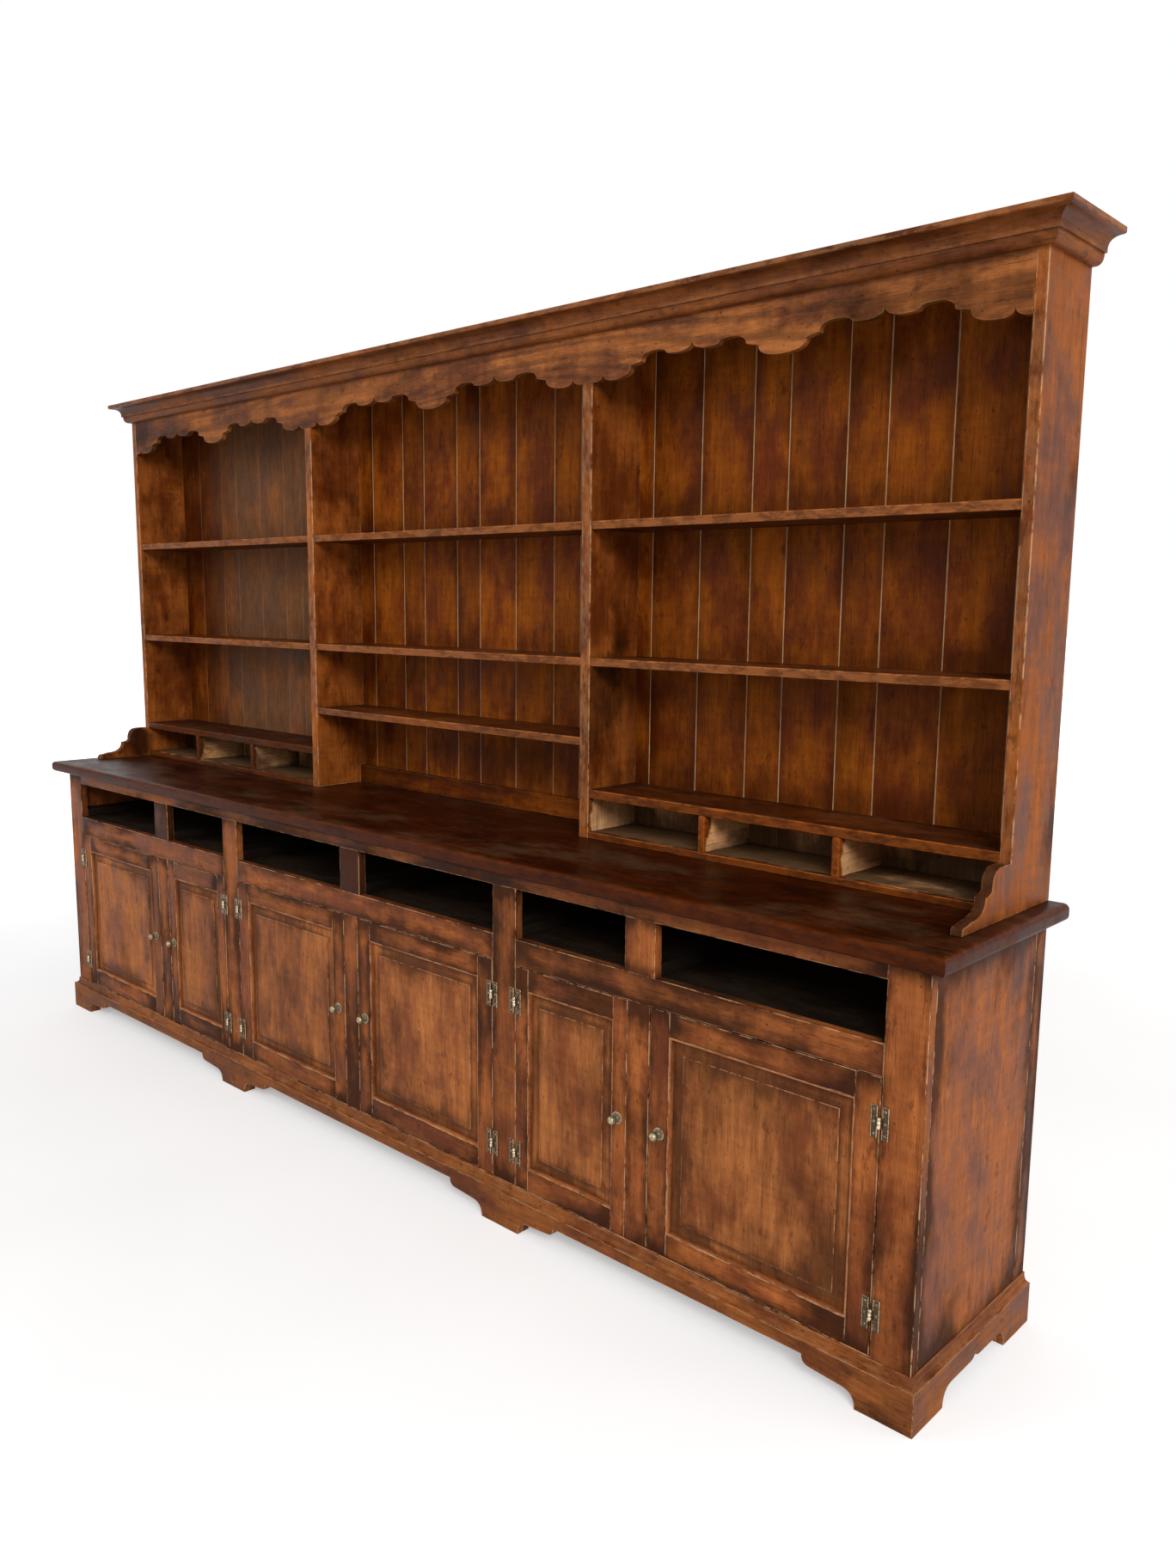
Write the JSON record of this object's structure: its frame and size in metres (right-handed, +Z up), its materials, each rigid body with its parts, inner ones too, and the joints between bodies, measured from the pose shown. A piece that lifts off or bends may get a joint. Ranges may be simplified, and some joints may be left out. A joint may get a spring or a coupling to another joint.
{
  "type": "welsh dresser",
  "caption": "Long Welsh dresser: a cupboard base with hinged panelled doors and open drawer spaces, under a shelved plate rack with scalloped frieze and cornice",
  "frame": {"origin": "on the floor, under the middle of the overall box", "axes": "+X along the length to the viewer's right, the doors face -Y, +Z up"},
  "size_m": [3.44, 0.525, 2.155],
  "materials": {
    "waxed_wood": "waxed red-brown oak and pine, worn paler at the edges",
    "worktop_wood": "dark waxed board with a soft shine",
    "back_board_wood": "stained upright boards, satin",
    "pale_wood": "bare dry wood inside, stained at the front edges",
    "aged_brass": "darkened, bright on the rubbed edges"
  },
  "bodies": {
    "case": {"base_back_boards": "back_board_wood", "base_bottom_board": "back_board_wood", "base_end_left": "waxed_wood", "base_end_right": "waxed_wood", "base_partition_left": "back_board_wood", "base_partition_right": "back_board_wood", "centre_skirting": "waxed_wood", "cornice": "waxed_wood", "drawer_deck": "back_board_wood", "face_frame": "waxed_wood", "frieze": "waxed_wood", "left_centre_door_hinge_lower": "aged_brass", "left_centre_door_hinge_upper": "aged_brass", "left_narrow_door_hinge_lower": "aged_brass", "left_narrow_door_hinge_upper": "aged_brass", "left_wide_door_hinge_lower": "aged_brass", "left_wide_door_hinge_upper": "aged_brass", "low_shelf_centre": "waxed_wood", "middle_shelf_centre": "waxed_wood", "middle_shelf_left": "waxed_wood", "middle_shelf_right": "waxed_wood", "pigeonholes_left": "pale_wood", "pigeonholes_right": "pale_wood", "plinth_front": "waxed_wood", "plinth_left": "waxed_wood", "plinth_right": "waxed_wood", "rack_back_boards": "back_board_wood", "rack_divider_left": "waxed_wood", "rack_divider_right": "waxed_wood", "rack_end_left": "waxed_wood", "rack_end_right": "waxed_wood", "rack_top_board": "waxed_wood", "right_centre_door_hinge_lower": "aged_brass", "right_centre_door_hinge_upper": "aged_brass", "right_narrow_door_hinge_lower": "aged_brass", "right_narrow_door_hinge_upper": "aged_brass", "right_wide_door_hinge_lower": "aged_brass", "right_wide_door_hinge_upper": "aged_brass", "upper_shelf_centre": "waxed_wood", "upper_shelf_left": "waxed_wood", "upper_shelf_right": "waxed_wood", "worktop": "worktop_wood"},
    "left_centre_door": {"left_centre_door_frame": "waxed_wood", "left_centre_door_panel": "waxed_wood", "left_centre_door_knob": "aged_brass"},
    "left_narrow_door": {"left_narrow_door_frame": "waxed_wood", "left_narrow_door_panel": "waxed_wood", "left_narrow_door_knob": "aged_brass"},
    "left_wide_door": {"left_wide_door_frame": "waxed_wood", "left_wide_door_panel": "waxed_wood", "left_wide_door_knob": "aged_brass"},
    "right_centre_door": {"right_centre_door_frame": "waxed_wood", "right_centre_door_panel": "waxed_wood", "right_centre_door_knob": "aged_brass"},
    "right_narrow_door": {"right_narrow_door_frame": "waxed_wood", "right_narrow_door_panel": "waxed_wood", "right_narrow_door_knob": "aged_brass"},
    "right_wide_door": {"right_wide_door_frame": "waxed_wood", "right_wide_door_panel": "waxed_wood", "right_wide_door_knob": "aged_brass"}
  },
  "joints": [
    {"name": "left_centre_door_swing", "type": "hinge", "parent": "case", "child": "left_centre_door", "pos_m": [-0.557, -0.2248, 0.378], "axis": [0, 0, -1], "range_deg": [0, 90]},
    {"name": "left_narrow_door_swing", "type": "hinge", "parent": "case", "child": "left_narrow_door", "pos_m": [-0.636, -0.2248, 0.378], "axis": [0, 0, 1], "range_deg": [0, 90]},
    {"name": "left_wide_door_swing", "type": "hinge", "parent": "case", "child": "left_wide_door", "pos_m": [-1.577, -0.2248, 0.378], "axis": [0, 0, -1], "range_deg": [0, 170]},
    {"name": "right_centre_door_swing", "type": "hinge", "parent": "case", "child": "right_centre_door", "pos_m": [0.557, -0.2248, 0.378], "axis": [0, 0, 1], "range_deg": [0, 90]},
    {"name": "right_narrow_door_swing", "type": "hinge", "parent": "case", "child": "right_narrow_door", "pos_m": [0.636, -0.2248, 0.378], "axis": [0, 0, -1], "range_deg": [0, 90]},
    {"name": "right_wide_door_swing", "type": "hinge", "parent": "case", "child": "right_wide_door", "pos_m": [1.577, -0.2248, 0.378], "axis": [0, 0, 1], "range_deg": [0, 170]}
  ]
}
